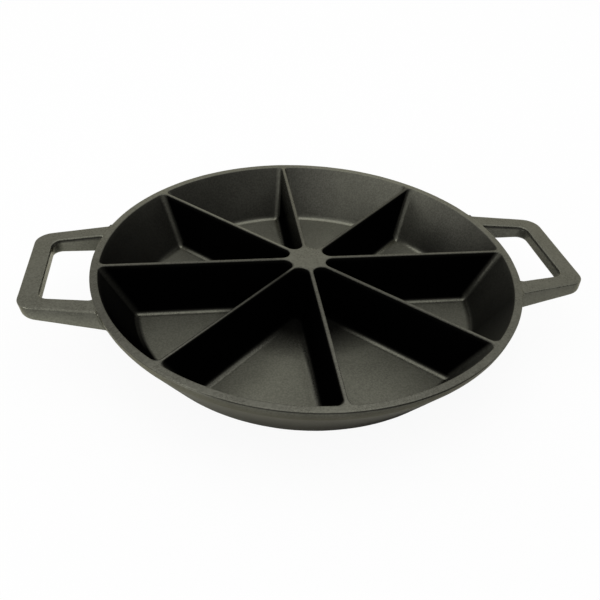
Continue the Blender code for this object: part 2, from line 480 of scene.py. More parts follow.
@dataclass
class PanCasting(Casting):
    """The pan without its handles: pockets, dividers, hub, rim, wall and base, in one skin."""

    name: str = "pan_casting"
    rim_radius: float = 152.39 * MM
    rim_width: float = 5.3 * MM
    height: float = 45.0 * MM
    floor_thickness: float = 5.0 * MM
    inner_lean: float = math.radians(29.0)
    wall_at_floor: float = 4.0 * MM
    band_height: float = 7.0 * MM
    band_draft: float = math.radians(10.0)
    band_blend: float = 7.0 * MM
    knuckle_radius: float = 5.0 * MM
    pocket_count: int = 8
    divider_top: float = 2.8 * MM
    divider_draft: float = math.radians(5.0)
    hub_corner: float = 6.2 * MM
    rim_corner: float = 4.5 * MM
    floor_fillet: float = 6.0 * MM
    edge_round: float = 0.7 * MM
    lip_round: float = 0.5 * MM
    lip_height: float = 0.6 * MM
    groove_depth: float = 0.6 * MM
    groove_width: float = 1.1 * MM
    sharpest: float = 0.8 * MM
    apex_steps: int = 10
    side_steps: int = 46
    corner_steps: int = 8
    arc_steps: int = 16
    floor_rings: int = 9
    wall_rings: int = 12
    base_rings: int = 14
    outer_rings: int = 9
    band_rings: int = 4
    bend_steps: int = 8
    knuckle_steps: int = 10
    lip_steps: int = 4
    edge_steps: int = 4
    edge_step: float = 0.35 * MM
    edge_paint_start: float = 0.1
    groove_shape: tuple[tuple[float, float], ...] = (
        (0.0, 0.0), (0.35, 0.9), (0.5, 1.0), (0.7, 0.85), (1.0, 0.25), (1.3, 0.0)
    )
    top_shares: tuple[float, ...] = (0.18, 0.5, 0.82, 1.0)
    floor_ring_power: float = 0.8
    corner_power: float = 1.6
    fillet_paint_steps: int = 2
    rim_blend: float = 3.0
    # How fully a wall must be in painted shade before that shade holds back the corner's painted
    # highlight and runs down its fillet.
    crust_power: int = 8
    foot_fall: float = 1.45
    top_coat: Coat = Coat(wear=0.3, coarse=0.3)
    # Real wear and painted light on the rim top, round the pan.
    rim_rubs: tuple[float, ...] = (
        0.22, 0.32, 0.45, 0.55, 0.22, 0.32, 0.47, 0.25,
        0.03, -0.14, 0.12, 0.08, 0.22, 0.04, 0.13, 0.1,
    )
    # Painted light and shade on each divider's top, at its hub end and at its rim end.
    hub_end_rubs: tuple[float, ...] = (-0.05, -0.15, -0.1, 0.72, -0.2, -0.85, -0.05, -0.3)
    rim_end_rubs: tuple[float, ...] = (0.12, -0.45, 0.2, 0.35, 0.1, 0.1, 0.12, 0.25)
    # Painted shade on each divider's rounded upper edges.
    edge_crusts: tuple[float, ...] = (0.12, 0.5, 0.12, 0.0, 0.2, 0.9, 0.15, 0.3)
    hub_reach: float = 14.0 * MM
    # Real wear and painted light on each pocket's floor.
    floor_rubs: tuple[float, ...] = (0.5, 0.5, 0.5, 0.5, 0.52, 0.68, 0.6, 0.5)
    floor_dull: float = 0.75
    # A painted highlight on each pocket's fillet; a negative amount paints a shadow there.
    fillet_rubs: tuple[float, ...] = (0.65, 0.65, 0.65, 0.65, 0.65, -0.2, 0.5, 0.65)
    # Painted shade: the divider faces are painted black.
    side_coat: Coat = Coat(crust=1.0, coarse=0.2)
    # Painted shade on the floor near the hub.
    shade_start: float = 68.0 * MM
    shade_end: float = 38.0 * MM
    shade: float = 0.9
    # Painted shade up each fillet, from the floor into the upright faces.
    fillet_shades: tuple[float, ...] = (0.0, 0.1, 0.15, 0.2, 0.85, 1.0, 1.0, 1.0, 1.0)
    # Painted shade in the groove under the rim.
    groove_coat: Coat = Coat(crust=0.95, coarse=0.5)
    # Painted shade and light on the pockets' outer walls, round the pan.
    wall_rubs: tuple[float, ...] = (
        -0.7, -0.05, 0.3, 0.25, -0.4, -0.55, -0.68, -0.85,
        -0.95, -1.0, -1.0, -0.3, -0.2, -0.3, -0.6, -0.88,
    )
    # Painted light on the outside under the rim, round the pan.
    outer_rubs: tuple[float, ...] = (0.0, 0.0, 0.0, 0.0, 1.0, 0.35, -0.15, -0.15)
    # Painted shade at the foot of the outside, round the pan; a positive amount paints it lighter.
    foot_rubs: tuple[float, ...] = (-0.5, -0.5, -0.5, -0.5, 0.7, -0.42, -0.8, -0.88)
    # A painted highlight up the pockets' corners; it also paints one divider face lighter.
    corner_coat: Coat = Coat(wear=0.3, coarse=0.3)
    corner_wear: float = 0.55
    # The divider whose left face is painted lighter toward its upper outer end, and by how much.
    barest: int = 2
    bareness: float = 0.4
    wall_coarse: float = 1.2
    wall_dullness: float = 1.4
    outer_coarse: float = 0.6

    @property
    def half_pocket(self) -> float:
        """Half of a pocket's angle."""
        return math.pi / self.pocket_count

    @property
    def along(self) -> Vector:
        """The direction of the divider on a pocket's right, where +X is the pocket's middle."""
        return heading(-self.half_pocket)

    @property
    def band_foot(self) -> Vector:
        """Where the rim's upright band ends and the flaring wall begins, as radius and height."""
        drop = self.band_height
        return Vector((self.rim_radius - drop * math.tan(self.band_draft), self.height - drop))

    @property
    def outer_lean(self) -> float:
        """The flaring wall's angle from upright on the outside.

        Returns:
            The angle in radians.
        """
        depth = self.height - self.floor_thickness
        floor_radius = self.rim_radius - self.rim_width - depth * math.tan(self.inner_lean)
        run = self.band_foot.x - floor_radius - self.wall_at_floor
        return math.atan2(run, self.band_foot.y - self.floor_thickness)

    @property
    def lip_radius(self) -> float:
        """Where the rim's flat top ends, just inside its rounded outer edge."""
        return self.rim_radius - self.lip_round

    def half_outline(self, z: float) -> list[Vector]:
        """Half of a pocket's outline at a height, from its inner end to its middle by the wall.

        Args:
            z: The height above the ground.

        Returns:
            The points in plan. The first and the last are on the middle line.
        """
        rise = z - self.floor_thickness
        drop = self.height - z
        side_shift = rounding(rise, self.floor_fillet, self.divider_draft)
        side_shift -= rounding(drop, self.edge_round, self.divider_draft)
        wall_shift = rounding(rise, self.floor_fillet, self.inner_lean)
        wall_shift -= rounding(drop, self.edge_round, self.inner_lean)
        half = self.divider_top / 2 + drop * math.tan(self.divider_draft) + side_shift
        radius = self.rim_radius - self.rim_width - drop * math.tan(self.inner_lean) - wall_shift
        corner = max(self.rim_corner - side_shift, self.sharpest)
        hub_corner = max(self.hub_corner - side_shift, self.sharpest)
        inward = Vector((-self.along.y, self.along.x))
        reach = math.sqrt((radius - corner) ** 2 - (half + corner) ** 2)
        centre = self.along * reach + inward * (half + corner)
        bearing = math.atan2(centre.y, centre.x)
        side = math.pi / 2 + self.half_pocket
        apex = Vector(((half + hub_corner) / math.sin(self.half_pocket), 0.0))
        points = arc(apex, hub_corner, math.pi, 2 * math.pi - side, self.apex_steps)
        start = points[-1]
        rim_end = arc(centre, corner, -side, bearing, self.corner_steps)
        steps = range(1, self.side_steps)
        points += [between(start, rim_end[0], k / self.side_steps) for k in steps]
        points += rim_end
        points += arc(Vector((0.0, 0.0)), radius, bearing, 0.0, self.arc_steps)[1:]
        return points

    def half_border(self) -> list[Vector]:
        """The border of half a pocket's share of the top face: divider line, then the rim's edge.

        Returns:
            One point for each point of half_outline, the first at the hub's centre.
        """
        outline = self.half_outline(self.height)
        side_start = self.apex_steps
        side_end = self.apex_steps + self.side_steps
        corner_end = side_end + self.corner_steps
        first = outline[side_start].dot(self.along)
        last = outline[side_end].dot(self.along)
        bearing = math.atan2(outline[corner_end].y, outline[corner_end].x)
        turn = self.corner_steps // 2
        border = [self.along * (first * k / self.apex_steps) for k in range(self.apex_steps)]
        border += [self.along * point.dot(self.along) for point in outline[side_start:side_end]]
        for k in range(turn):
            border.append(self.along * (last + (self.lip_radius - last) * k / turn))
        for k in range(turn):
            angle = -self.half_pocket + (bearing + self.half_pocket) * k / turn
            border.append(heading(angle) * self.lip_radius)
        border += [point.normalized() * self.lip_radius for point in outline[corner_end:]]
        return border

    def whole(self, half: Sequence[Vector]) -> list[Vector]:
        """Adds the mirror image of half an outline, so that it closes."""
        return list(half) + [Vector((point.x, -point.y)) for point in reversed(half[1:-1])]

    def outline_shares(self, inner: float, side: float, wall: float) -> list[float]:
        """A share for each point of a pocket's outline.

        Args:
            inner: The share at its inner end.
            side: The share along its two dividers.
            wall: The share along the pan's wall.

        Returns:
            The shares in order, blended round the corners.
        """
        half = [inner + (side - inner) * k / self.apex_steps for k in range(self.apex_steps)]
        half += [side] * self.side_steps
        shares = [k / self.corner_steps for k in range(self.corner_steps + 1)]
        half += [side + (wall - side) * share**self.corner_power for share in shares]
        half += [wall] * self.arc_steps
        return half + list(reversed(half[1:-1]))

    def around(self, amounts: Sequence[float], point: Vector) -> float:
        """Reads a row of amounts that are spread evenly round the pan.

        Args:
            amounts: The amounts, counted from the right handle. Where there is one for each pocket,
                each stands at the middle of its pocket.
            point: Where one is needed.

        Returns:
            The amount there, between its two neighbours in the row.
        """
        place = math.atan2(point.y, point.x) / math.tau * len(amounts)
        place -= 0.5 if len(amounts) == self.pocket_count else 0.0
        first = math.floor(place)
        low, high = (amounts[(first + k) % len(amounts)] for k in (0, 1))
        return low + (high - low) * (place - first)

    def floor_coat_at(self, point: Vector, fillet: float) -> Coat:
        """The floor's coat: wear and painted light, a painted highlight on the fillet, and painted
        shade that gets darker toward the hub.

        Args:
            point: A point of the floor or of the fillet round it.
            fillet: How far the coat is from the floor's to the fillet's.

        Returns:
            The coat there.
        """
        flat = Coat(wear=self.around(self.floor_rubs, point), dull=self.floor_dull)
        share = (self.shade_start - Vector(point[:2]).length) / (self.shade_start - self.shade_end)
        bent = Coat.rubbed(self.around(self.fillet_rubs, point), self.top_coat.coarse)
        coat = flat.toward(bent, fillet)
        return coat.toward(self.side_coat, self.shade * clamp(share))

    def divider_at(self, point: Vector) -> int:
        """The number of the divider that is nearest to a point, counted from the right handle."""
        return round(math.atan2(point.y, point.x) / (2 * self.half_pocket)) % self.pocket_count

    def face_coat_at(self, point: Vector) -> Coat:
        """The coat of the divider face that is nearest to a point, in painted shade.

        Args:
            point: A point of the face.

        Returns:
            The coat, in full painted shade but for the upper outer end of one divider's left face,
            which is painted lighter.
        """
        bearing = math.atan2(point.y, point.x)
        if self.divider_at(point) != self.barest or bearing < self.barest * 2 * self.half_pocket:
            return self.side_coat
        rise = max(0.0, 2.0 * point.z / self.height - 1.0)
        reach = Vector(point[:2]).length / self.rim_radius
        return self.side_coat.toward(self.corner_coat, self.bareness * rise * reach)

    def edge_coat_at(self, point: Vector) -> Coat:
        """The coat of the rounded upper edge of the divider that is nearest to a point, in painted
        shade.
        """
        return Coat(crust=self.edge_crusts[self.divider_at(point)], coarse=self.top_coat.coarse)

    def top_coat_at(self, point: Vector) -> Coat:
        """The coat of the top face: real wear, with painted light and shade that differ round the
        rim and along each divider.

        Args:
            point: A point of the top face.

        Returns:
            The coat there.
        """
        radius = Vector(point[:2]).length
        rim_edge = self.rim_radius - self.rim_width
        rows = (self.hub_end_rubs, self.rim_end_rubs)
        inner, outer = (row[self.divider_at(point)] for row in rows)
        divider = Coat.rubbed(inner + (outer - inner) * radius / rim_edge, self.top_coat.coarse)
        rim = Coat.rubbed(self.around(self.rim_rubs, point), self.top_coat.coarse)
        coat = self.top_coat.toward(divider, clamp(radius / self.hub_reach - 1.0))
        return coat.toward(rim, clamp((radius - rim_edge) / self.rim_width * self.rim_blend + 1.0))

    def pocket_levels(self) -> list[tuple[float, float, float, float]]:
        """The heights of a pocket's rings, from its floor to its rounded top edge.

        Returns:
            For each ring its height, and how far its coat is from the floor's to the fillet's,
            from there to the upright faces' painted shade and from there to the top's.
        """
        levels = []
        steps = len(self.fillet_shades) - 1
        for k, shade in enumerate(self.fillet_shades):
            rise = self.floor_fillet * (1 - math.cos(math.pi / 2 * k / steps))
            paint = min(1.0, k / self.fillet_paint_steps)
            levels.append((self.floor_thickness + rise, paint, shade, 0.0))
        low = levels[-1][0]
        high = self.height - self.edge_round
        for k in range(1, self.wall_rings):
            share = k / self.wall_rings
            levels.append((low + (high - low) * share, 1.0, 1.0, 0.0))
        start = self.edge_paint_start
        levels.append((high - self.edge_step, 1.0, 1.0, start / 2))
        for k in range(self.edge_steps + 1):
            share = k / self.edge_steps
            level = high + self.edge_round * math.sin(math.pi / 2 * share)
            levels.append((level, 1.0, 1.0, start + (1.0 - start) * math.sqrt(share)))
        return levels

    def outer_profile(self) -> list[tuple[float, float, float]]:
        """The outside from the rim's rounded edge down to the flat base.

        Returns:
            For each ring its radius, its height and how deep in the groove under the rim it is.
        """
        band_foot, lean = self.band_foot, self.outer_lean
        base_radius = band_foot.x - band_foot.y * math.tan(lean)
        lip = Vector((self.lip_radius, self.height - self.lip_round))
        profile = []
        for k in range(1, self.lip_steps + 1):
            spot = lip + heading(math.pi / 2 * (1 - k / self.lip_steps)) * self.lip_round
            profile.append((spot.x, spot.y, 0.0))
        below = self.height - self.lip_height
        for share, depth in self.groove_shape:
            z = below - share * self.groove_width
            radius = self.rim_radius - (self.height - z) * math.tan(self.band_draft)
            profile.append((radius - depth * self.groove_depth, z, depth))
        top = Vector(profile[-1][:2])
        reach = self.band_blend / 2
        above = band_foot + Vector((math.sin(self.band_draft), math.cos(self.band_draft))) * reach
        under = band_foot - Vector((math.sin(lean), math.cos(lean))) * reach
        spots = [between(top, above, k / self.band_rings) for k in range(1, self.band_rings)]
        for k in range(self.bend_steps + 1):
            share = k / self.bend_steps
            before, after = between(above, band_foot, share), between(band_foot, under, share)
            spots.append(between(before, after, share))
        tangent = self.knuckle_radius * math.tan((math.pi / 2 - lean) / 2)
        centre = Vector((base_radius - tangent, self.knuckle_radius))
        turn = -lean, -math.pi / 2
        knuckle = arc(centre, self.knuckle_radius, *turn, self.knuckle_steps)
        start, steps = spots[-1], range(1, self.outer_rings)
        spots += [between(start, knuckle[0], k / self.outer_rings) for k in steps]
        shares = [1 - k / self.base_rings for k in range(1, self.base_rings)]
        spots += knuckle + [Vector((knuckle[-1].x * share, 0.0)) for share in shares]
        return profile + [(spot.x, spot.y, 0.0) for spot in spots]

    def outside_coat_at(self, point: Vector, groove: float) -> Coat:
        """The coat of the outside, with painted light round the pan and painted shade that gets
        darker toward the foot.

        Args:
            point: A point of the outside.
            groove: How deep in the groove under the rim it is, from 0 to 1.

        Returns:
            The coat there.
        """
        wall = Coat.rubbed(self.around(self.outer_rubs, point), self.outer_coarse)
        foot = Coat.rubbed(self.around(self.foot_rubs, point), self.outer_coarse)
        # The outside is painted darker toward the foot: painted shade.
        fall = clamp(self.foot_fall * (1.0 - point.z / self.band_foot.y))
        lip = max(0.0, 1.0 - (self.height - point.z) / self.lip_height)
        # Painted shade fills the groove under the rim.
        coat = wall.toward(foot, fall).toward(self.groove_coat, groove)
        return coat.toward(self.top_coat_at(point), lip)

    def skin(self) -> Skin:
        """The pan's whole skin, pocket by pocket and then the outside.

        Returns:
            Its points, faces and coats.
        """
        skin = Skin()
        rim_points: list[Vector] = []
        for pocket in range(self.pocket_count):
            turn = Matrix.Rotation((2 * pocket + 1) * self.half_pocket, 3, "Z")
            self._add_pocket(skin, turn)
            rim_points += self._rim_points(turn)
        self._add_outside(skin, rim_points)
        return skin

    def _add_pocket(self, skin: Skin, turn: Matrix) -> None:
        """Adds a pocket and its share of the top face.

        Args:
            skin: The skin to add to.
            turn: Turns the pocket to its place.
        """
        wall_shares = self.outline_shares(0.0, 0.0, 1.0)
        corner_shares = [hump(share) for share in wall_shares]
        edge_shares = self.outline_shares(0.0, 1.0, 0.0)
        floor = self.whole(self.half_outline(self.floor_thickness))
        middle = Vector((sum(point.x for point in floor) / len(floor), 0.0))

        def lift(points: Sequence[Vector], z: float) -> list[Vector]:
            """Raises plan points to a height and turns them to the pocket's place."""
            return [turn @ Vector((point.x, point.y, z)) for point in points]

        rings = []
        for k in range(self.floor_rings):
            share = (k / self.floor_rings) ** self.floor_ring_power
            points = [between(middle, point, share) for point in (floor if k else floor[:1])]
            placed = lift(points, self.floor_thickness)
            rings.append(skin.ring(placed, [self.floor_coat_at(point, 0.0) for point in placed]))
        for z, fillet, upright, top in self.pocket_levels():
            placed = lift(self.whole(self.half_outline(z)), z)
            coats = []
            for there, wall, corner, edge in zip(placed, wall_shares, corner_shares, edge_shares):
                # The wall's painted shade and light, by bearing.
                amount = self.around(self.wall_rubs, there)
                wall_coat = Coat.rubbed(amount, self.wall_coarse, self.wall_dullness)
                # A painted highlight up the pocket's corner, held back where the wall is in painted
                # shade.
                corner_highlight_share = self.corner_wear * (1.0 - wall_coat.crust**self.crust_power)
                side = self.face_coat_at(there).toward(wall_coat, wall)
                side = side.toward(self.corner_coat, corner * corner_highlight_share)
                # The divider's rounded top edge, with its painted shade.
                edge_coat = self.top_coat_at(there).toward(self.edge_coat_at(there), edge)
                floor_coat = self.floor_coat_at(there, fillet)
                # Where a wall is in painted shade, that shade runs down its fillet to the floor.
                share = max(upright, fillet * wall * side.crust**self.crust_power)
                coats.append(floor_coat.toward(side, share).toward(edge_coat, top))
            rings.append(skin.ring(placed, coats))
        outline = self.whole(self.half_outline(self.height))
        border = self.whole(self.half_border())
        for share in self.top_shares:
            placed = lift([between(a, b, share) for a, b in zip(outline, border)], self.height)
            rings.append(skin.ring(placed, [self.top_coat_at(point) for point in placed]))
        skin.bridge_all(rings)

    def _rim_points(self, turn: Matrix) -> list[Vector]:
        """Where the rim's flat top ends along one pocket, but for the next pocket's first point."""
        start = self.apex_steps + self.side_steps + self.corner_steps // 2
        return [turn @ point.to_3d() for point in self.whole(self.half_border())[start:-start]]

    def _add_outside(self, skin: Skin, rim_points: Sequence[Vector]) -> None:
        """Adds the outside of the pan, from the edge of the flat top to the middle of the base.

        Args:
            skin: The skin to add to.
            rim_points: The points where the rim's flat top ends, all the way round.
        """
        directions = [Vector((point.x, point.y, 0.0)).normalized() for point in rim_points]
        top = straight_up(self.height)
        edge = [direction * self.lip_radius + top for direction in directions]
        rings = [skin.ring(edge, [self.top_coat_at(point) for point in edge])]
        for radius, z, groove in self.outer_profile():
            points = [direction * radius + straight_up(z) for direction in directions]
            coats = [self.outside_coat_at(point, groove) for point in points]
            rings.append(skin.ring(points, coats))
        # The base's middle takes the foot's painted shade.
        middle_coat = Coat.rubbed(self.foot_rubs[0], self.outer_coarse)
        rings.append(skin.ring([Vector((0.0, 0.0, 0.0))], middle_coat))
        skin.bridge_all(rings)

    def outside_distance(self, point: Vector) -> float:
        """How far a point is outside the pan's wall.

        Args:
            point: A point near the wall.

        Returns:
            The distance, negative inside the wall.
        """
        radius = math.hypot(point.x, point.y)
        foot, lean = self.band_foot, self.outer_lean
        band = (radius - self.rim_radius) * math.cos(self.band_draft)
        band += (self.height - point.z) * math.sin(self.band_draft)
        wall = (radius - foot.x) * math.cos(lean) + (foot.y - point.z) * math.sin(lean)
        return max(band, wall)


# The handles


class Side(Enum):
    """The side that a handle is on, with its bearing round the pan."""

    RIGHT = 0.0
    LEFT = math.pi


@dataclass(frozen=True)
class SectionSpot(Mixable):
    """One point of the handle's cross section, which keeps its place at every size."""

    across: float
    up: float
    outward: float
    lift: float
    top: float


@dataclass
class LoopHandle(Casting):
    """One flat loop handle, swept round its finger hole with its roots flared into the wall."""

    side: Side
    pan: PanCasting
    length: float = 42.8 * MM
    root_width: float = 103.6 * MM
    tip_width: float = 87.6 * MM
    root_thickness: float = 14.0 * MM
    tip_thickness: float = 9.3 * MM
    drop: float = 0.2 * MM
    back_corner: float = 13.0 * MM
    front_corner: float = 12.0 * MM
    grip_width: float = 12.9 * MM
    arm_root_width: float = 12.8 * MM
    arm_tip_width: float = 11.5 * MM
    hole_corner: float = 8.0 * MM
    top_round: float = 1.1 * MM
    foot_round: float = 2.2 * MM
    grip_draft: float = 0.0
    mould_line_depth: float = 0.45 * MM
    mould_line_width: float = 0.8 * MM
    mould_line_shape: tuple[tuple[float, float], ...] = ((0.3, 1.0), (0.7, 1.0), (1.0, 0.0))
    hole_flare: float = 3.0 * MM
    outer_flare: float = 2.0 * MM
    foot_flare: float = 2.0 * MM
    sunk: float = 1.5 * MM
    # Painted light on the handle's sides.
    side_coat: Coat = Coat(wear=0.5, dull=0.3, coarse=0.5)
    top_coat: Coat = Coat(wear=0.2, coarse=0.3)
    # A painted highlight along the handle's upper edges.
    edge_coat: Coat = Coat(wear=0.6, coarse=0.2)
    # Painted shade in the mould's line.
    line_coat: Coat = Coat(crust=0.6, coarse=0.5)
    root_reach: float = 30.0 * MM
    root_steps: int = 8
    arm_steps: int = 12
    corner_steps: int = 10
    grip_steps: int = 14
    round_steps: int = 5
    face_steps: int = 5
    halvings: int = 24

    @property
    def name(self) -> str:
        """The handle's name in the scene."""
        return f"handle_{self.side.name.lower()}_casting"

    @property
    def node(self) -> str:
        """The name of the solid that it stands for."""
        return f"handle_{self.side.name.lower()}"

    def half_width(self, x: float) -> float:
        """Half the width over the arms at a distance from the pan's middle."""
        share = (x - self.pan.rim_radius) / self.length
        return (self.root_width + (self.tip_width - self.root_width) * share) / 2

    def half_hole(self, x: float) -> float:
        """Half the finger hole's width at a distance from the pan's middle.

        Args:
            x: The distance.

        Returns:
            Half the width in plan.
        """
        share = (x - self.pan.rim_radius) / (self.length - self.grip_width)
        arm = self.arm_root_width + (self.arm_tip_width - self.arm_root_width) * share
        return self.half_width(x) - arm

    def underside(self, x: float) -> float:
        """The height of the sloping underside at a distance from the pan's middle.

        Args:
            x: The distance.

        Returns:
            The height above the ground.
        """
        share = (x - self.pan.rim_radius) / self.length
        thickness = self.root_thickness + (self.tip_thickness - self.root_thickness) * share
        return self.pan.height - self.drop - thickness

    def plan_line(self, hole: bool, radius: float) -> list[Vector]:
        """Half an outline in plan, on the +Y side.

        Args:
            hole: True for the finger hole's outline, False for the outer one.
            radius: The radius of its corner.

        Returns:
            A point inside the pan, the corner's points, and the middle of the grip.
        """
        width = self.half_hole if hole else self.half_width
        tip = self.pan.rim_radius + self.length - (self.grip_width if hole else 0.0)
        near = Vector((self.pan.rim_radius, width(self.pan.rim_radius)))
        direction = (Vector((tip, width(tip))) - near).normalized()
        slant = math.atan2(direction.y, direction.x)
        on_side = near + Vector((direction.y, -direction.x)) * radius
        centre = on_side + direction * ((tip - radius - on_side.x) / direction.x)
        corner = arc(centre, radius, math.pi / 2 + slant, 0.0, self.corner_steps)
        root = self.pan.rim_radius - self.root_reach
        return [Vector((root, width(root)))] + corner + [Vector((tip, 0.0))]

    def section(self) -> list[SectionSpot]:
        """The cross section, from the outside's top down, under the loop and up on the hole's side.

        Returns:
            The section's points, with the mould's line as a groove under the hole's upper edge.
        """
        quarters = (
            (1.0, 1.0, self.top_round, math.pi / 2, 1.0),
            (1.0, 0.0, self.foot_round, 0.0, 0.0),
            (0.0, 0.0, self.foot_round, -math.pi / 2, 0.0),
            (0.0, 1.0, self.top_round, -math.pi, 1.0),
        )
        rounds = []
        for across, up, radius, start, top in quarters:
            spots = []
            for k in range(self.round_steps + 1):
                angle = start - math.pi / 2 * k / self.round_steps
                outward = radius * (math.cos(angle) + (1.0 - 2.0 * across))
                lift = radius * (math.sin(angle) + (1.0 - 2.0 * up))
                spots.append(SectionSpot(across, up, outward, lift, top))
            rounds.append(spots)
        for share, depth in self.mould_line_shape:
            lift = -self.top_round - share * self.mould_line_width
            rounds[-1].insert(0, SectionSpot(0.0, 1.0, depth * self.mould_line_depth, lift, 0.0))
        loop = []
        for spots, following in zip(rounds, rounds[1:] + rounds[:1]):
            loop += spots
            steps = range(1, self.face_steps)
            loop += [spots[-1].toward(following[0], k / self.face_steps) for k in steps]
        return loop

    def coat_of(self, spot: SectionSpot) -> Coat:
        """The coat of a point of the cross section.

        Args:
            spot: The point.

        Returns:
            Its coat, with a painted highlight on the upper edges and painted shade in the mould's
            line.
        """
        # Painted shade in the mould's line.
        if spot.up == 1.0 and not spot.top:
            return self.line_coat
        coat = self.side_coat.toward(self.top_coat, spot.top)
        # A painted highlight along the rounded upper edges.
        fall = -spot.lift / self.top_round if spot.up == 1.0 else 0.0
        return coat.toward(self.edge_coat, hump(fall))

    def place(self, spot: SectionSpot, outer: Vector, inner: Vector, draft: float = 0.0) -> Vector:
        """Puts a point of the section between the two outlines.

        Args:
            spot: The point of the section.
            outer: The outer outline's point in plan.
            inner: The hole outline's point in plan.
            draft: How much the outer face leans in under the loop, as an angle.

        Returns:
            The point in space.
        """
        across = (outer - inner).normalized()
        plan = inner + (outer - inner) * spot.across + across * spot.outward
        top = self.pan.height - self.drop
        low = self.underside(plan.x)
        z = low + (top - low) * spot.up + spot.lift
        plan = plan - across * ((top - z) * math.tan(draft) * spot.across)
        return Vector((plan.x, plan.y, z))

    def flared(self, spot: SectionSpot, point: Vector, across: Vector) -> Vector:
        """Moves a point near the wall out into the flare at the handle's root.

        Args:
            spot: The point's place in the section.
            point: The point before the flare.
            across: The direction from the hole to the outside, in plan.

        Returns:
            The point on the flare.
        """
        gap = max(0.0, self.pan.outside_distance(point))

        def growth(radius: float) -> float:
            """How far a flare of some radius stands out at this distance from the wall."""
            return radius - math.sqrt(radius**2 - max(0.0, radius - gap) ** 2)

        outward = growth(self.outer_flare) * spot.across
        outward -= growth(self.hole_flare) * (1.0 - spot.across)
        sunk = growth(self.foot_flare) * (1.0 - spot.up)
        return point + across.to_3d() * outward - straight_up(sunk)

    def find_gap(
        self, spot: SectionSpot, outer: Sequence[Vector], inner: Sequence[Vector], gap: float
    ) -> float:
        """Where along an arm a point of the section has a set distance from the wall.

        Args:
            spot: The point of the section.
            outer: The arm's ends on the outer outline.
            inner: The arm's ends on the hole's outline.
            gap: The distance from the wall, negative inside it.

        Returns:
            The share of the arm's length.
        """
        low, high = 0.0, 1.0
        for _ in range(self.halvings):
            share = (low + high) / 2
            point = self.place(spot, between(*outer, share), between(*inner, share))
            if self.pan.outside_distance(point) < gap:
                low = share
            else:
                high = share
        return low

    def stations(self, corner: float) -> list[list[Vector]]:
        """The rings of half the handle, from its root in the wall to the middle of the grip.

        Args:
            corner: The radius of the outer corner.

        Returns:
            The rings, on the +Y side.
        """
        outline, hole = self.plan_line(False, corner), self.plan_line(True, self.hole_corner)
        section = self.section()
        outer, inner = outline[:2], hole[:2]
        reach = max(self.hole_flare, self.outer_flare, self.foot_flare)
        angles = [math.pi / 2 * k / self.root_steps for k in range(self.root_steps + 1)]
        gaps = [-self.sunk] + [reach * (1.0 - math.cos(angle)) for angle in angles]
        starts = [[self.find_gap(spot, outer, inner, gap) for spot in section] for gap in gaps]
        roots = starts[-1]
        for k in range(1, self.arm_steps):
            starts.append([root + (1.0 - root) * k / self.arm_steps for root in roots])
        rings = []
        for shares in starts:
            ring = []
            for spot, share in zip(section, shares):
                ends = between(*outer, share), between(*inner, share)
                point = self.place(spot, *ends)
                ring.append(self.flared(spot, point, (ends[0] - ends[1]).normalized()))
            rings.append(ring)
        for k, (far, near) in enumerate(zip(outline[1:-1], hole[1:-1])):
            draft = self.grip_draft * k / self.corner_steps
            rings.append([self.place(spot, far, near, draft) for spot in section])
        for k in range(1, self.grip_steps + 1):
            share = k / self.grip_steps
            far, near = between(*outline[-2:], share), between(*hole[-2:], share)
            rings.append([self.place(spot, far, near, self.grip_draft) for spot in section])
        return rings

    def skin(self) -> Skin:
        """The handle's skin, one half of it and then the mirror image of the other.

        Returns:
            Its points, faces and coats.
        """
        half, other = self.stations(self.back_corner), self.stations(self.front_corner)
        if self.side is Side.LEFT:
            half, other = other, half
        mirrored = []
        for ring in reversed(other[:-1]):
            mirrored.append([Vector((point.x, -point.y, point.z)) for point in ring])
        turn = Matrix.Rotation(self.side.value, 3, "Z")
        coats = [self.coat_of(spot) for spot in self.section()]
        skin = Skin()
        rings = []
        for ring in half + mirrored:
            rings.append(skin.ring([turn @ point for point in ring], coats))
        for end in (half[0], mirrored[-1]):
            middle = sum(end, Vector()) / len(end)
            rings.append(skin.ring([turn @ middle], self.side_coat))
        skin.bridge_all([rings[-2]] + rings[:-2] + [rings[-1]])
        return skin


# The studio


